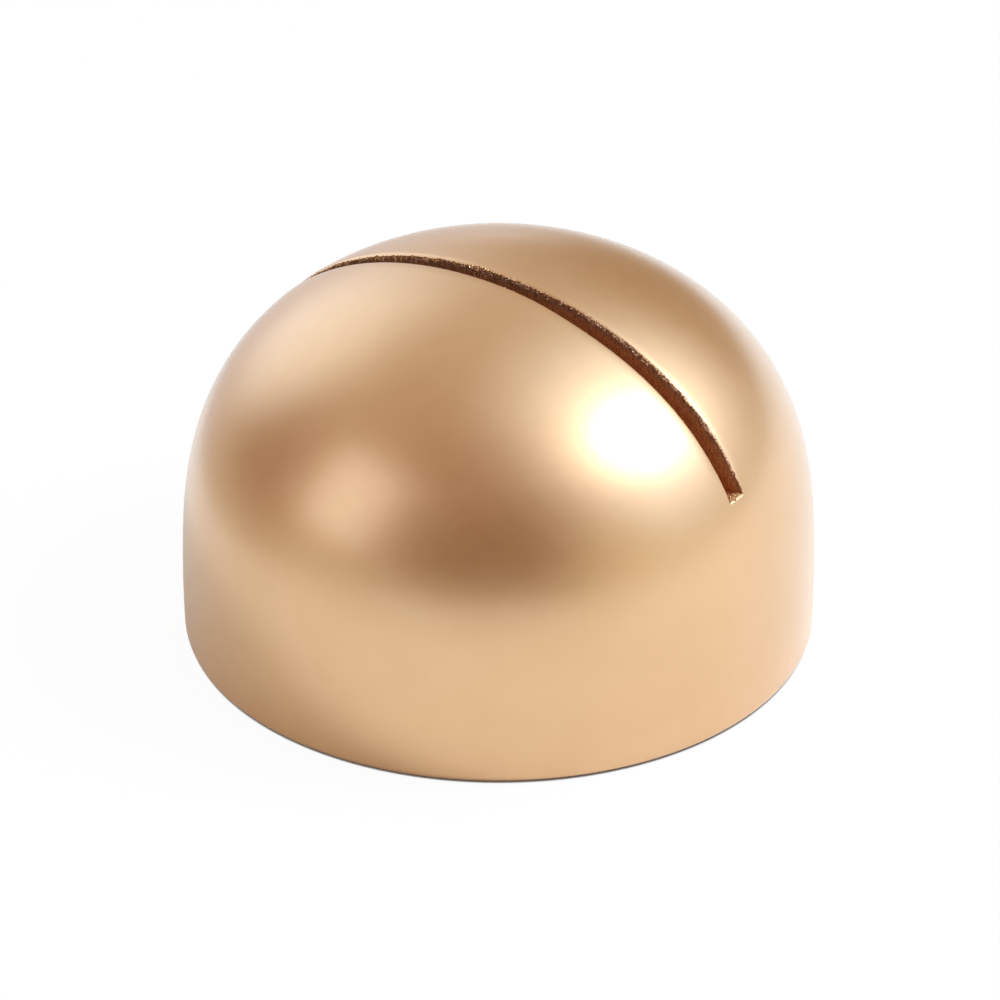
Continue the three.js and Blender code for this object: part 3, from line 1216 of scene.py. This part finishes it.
# Patches: turn, rise, half angle of the even middle, half angle of the whole, and the light added there
ROOM_PATCHES = {
    "key_glow": (96, 50, 10, 50, (0.5, 0.8, 1.11)),
    "key_spill": (80, 30, 5, 32, (0, 0.11, 0.45)),
    "key_far": (120, 52, 5, 32, (0.11, 0.26, 0.44)),
    "right_low": (60, 10, 5, 40, (0.2, 0.22, 0.14)),
    "back_window": (-146, 24, 4, 31, (0.65, 0.9, 1.19)),
    "back_low": (-160, -6, 6, 30, (0.1, 0.13, 0.24)),
    "camera_side": (-8, 30, 25, 70, (-0.18, -0.22, -0.21)),
    "camera_low": (-4, 14, 5, 42, (-0.21, -0.23, -0.22)),
    "left_corner": (-105, 18, 8, 32, (-0.26, -0.34, -0.33)),
    "back_corner": (158, 8, 8, 30, (-0.23, -0.31, -0.36)),
    "overhead": (0, 90, 10, 60, (-0.09, -0.14, -0.15)),
}
# White backdrop straight behind the stand, as reflections see it: turn, rise and half angles as above
BACKDROP_PATCH = (180, 0, 1, 6)


def sky_patch(nodes, turn, rise, inner, outer):
    """Mask that is 1 within inner degrees of a direction and 0 beyond outer degrees."""
    ways = nodes.coordinates["Generated"], direction(turn, rise)
    dot = nodes.add("ShaderNodeVectorMath", *ways, settings={"operation": "DOT_PRODUCT"})
    return nodes.ramp(dot.outputs["Value"], math.cos(math.radians(outer)), math.cos(math.radians(inner)))


def white_share(nodes, seen_share, mirrored_share):
    """How white a surround looks: so much to the camera, and so much to mirrored and see-through rays."""
    rays = nodes.add("ShaderNodeLightPath").outputs
    seen = nodes.math("MULTIPLY", rays["Is Camera Ray"], seen_share)
    mirrored = nodes.math("MAXIMUM", rays["Is Glossy Ray"], rays["Is Transmission Ray"])
    return nodes.math("MAXIMUM", seen, nodes.math("MULTIPLY", mirrored, mirrored_share))


def add_room():
    """White to the camera and, towards the backdrop, to reflections. Otherwise the room's own light."""
    nodes = Nodes(bpy.data.worlds.new("room"))
    colour = ROOM_LIGHT
    for *patch, added in ROOM_PATCHES.values():
        terms = sky_patch(nodes, *patch), added, colour
        step = nodes.add("ShaderNodeVectorMath", *terms, settings={"operation": "MULTIPLY_ADD"})
        colour = step.outputs["Vector"]
    room = nodes.add("ShaderNodeBackground", Color=colour)
    white = nodes.add("ShaderNodeBackground", Color=WHITE)
    share = white_share(nodes, 1.0, sky_patch(nodes, *BACKDROP_PATCH))
    nodes.add("ShaderNodeOutputWorld", Surface=nodes.mix_shaders(share, room, white).outputs[0])
    bpy.context.scene.world = nodes.owner


# Table top in metres: it ends close to the stand at -X, and reaches far out on the other sides.
TABLE_EDGE = 0.05
TABLE_REACH = 3.0
# Under the stand, well inside its foot, the table is clear, so that light reaches the felt from below.
CLEAR_RADIUS = (RECESS_RADIUS + 2.2) * MM
TABLE_PAINT = (0.95, 0.975, 0.925, 1)
# How white the table looks to the camera, and to reflections
TABLE_WHITE = (0.95, 0.04)
# Painted contact shadow, a thin dark line where the stand meets the table: colour, reach in metres, and the
# openness that it spans
CONTACT_SHADOW = (0.07, 0.04, 0.024, 1)
CONTACT_SHADOW_REACH = 0.2 * MM
CONTACT_SHADOW_SPAN = (0.4, 0.8)


def floor_look():
    """Pale paint that is white to the camera, with a painted contact shadow round the stand's foot. It is
    clear under the stand, and when seen from below.
    """
    nodes = new_look("floor_look")
    paint = nodes.add("ShaderNodeBsdfDiffuse", Color=TABLE_PAINT)
    # The table's white glow is painted dark close to the foot: a painted contact shadow.
    contact_shadow = nodes.add("ShaderNodeAmbientOcclusion", settings={"samples": 8}, Distance=CONTACT_SHADOW_REACH)
    white = nodes.mix(nodes.ramp(contact_shadow.outputs["AO"], *CONTACT_SHADOW_SPAN), CONTACT_SHADOW, WHITE)
    glow = nodes.add("ShaderNodeEmission", Color=white, Strength=1.0)
    table = nodes.mix_shaders(white_share(nodes, *TABLE_WHITE), paint, glow)
    place = nodes.coordinates["Object"]
    from_middle = nodes.add("ShaderNodeVectorMath", place, settings={"operation": "LENGTH"})
    under_stand = nodes.math("LESS_THAN", from_middle.outputs["Value"], CLEAR_RADIUS)
    from_below = nodes.add("ShaderNodeNewGeometry").outputs["Backfacing"]
    clear = nodes.add("ShaderNodeBsdfTransparent")
    return nodes.finish(nodes.mix_shaders(nodes.math("MAXIMUM", under_stand, from_below), table, clear))


def add_floor():
    """Pale table top that keeps a faint shadow."""
    mesh = bpy.data.meshes.new("floor")
    edge, far = -TABLE_EDGE, TABLE_REACH
    corners = [(edge, -far, 0), (far, -far, 0), (far, far, 0), (edge, far, 0)]
    mesh.from_pydata(corners, [], [(0, 1, 2, 3)])
    mesh.materials.append(floor_look())
    floor = add_object("floor", mesh)


CAMERA_DISTANCE = 1800.0
TARGET_HEIGHT = RIM + 8.714
SENSOR = 36.0
# The picture in pixels: its width, half the dome's width, and the place of the dome's middle
PICTURE_PIXELS = 1000
DOME_HALF_PIXELS = 316.25
DOME_MIDDLE_PIXEL = 498.74


def add_camera():
    data = bpy.data.cameras.new("camera")
    data.sensor_width = SENSOR
    data.lens = DOME_HALF_PIXELS / RADIUS * CAMERA_DISTANCE * SENSOR / PICTURE_PIXELS
    data.shift_x = (PICTURE_PIXELS / 2 - DOME_MIDDLE_PIXEL) / PICTURE_PIXELS
    data.clip_start = 0.05
    data.clip_end = 20
    camera = add_object("camera", data)
    back = Vector(math.cos(VIEW_RISE) * TOWARDS + math.sin(VIEW_RISE) * UP)
    camera.location = (Vector((0, 0, TARGET_HEIGHT)) + back * CAMERA_DISTANCE) * MM
    camera.rotation_euler = back.to_track_quat("Z", "Y").to_euler()
    bpy.context.scene.camera = camera


gold = gold_lacquer_look()
lacquer_skin(gold)
wood_core(sawn_wood_look())
gold_flecks(gold)
edge_specks(speck_look())
wood_fibres(fibre_look())
felt = felt_look()
felt_disc(felt)
felt_fuzz(felt)
adhesive = frame["nodes"]["pad_adhesive"]
adhesive.data.materials.clear()
adhesive.data.materials.append(adhesive_look())
add_softboxes()
add_room()
add_floor()
add_camera()
bpy.context.scene.view_settings.view_transform = "Standard"
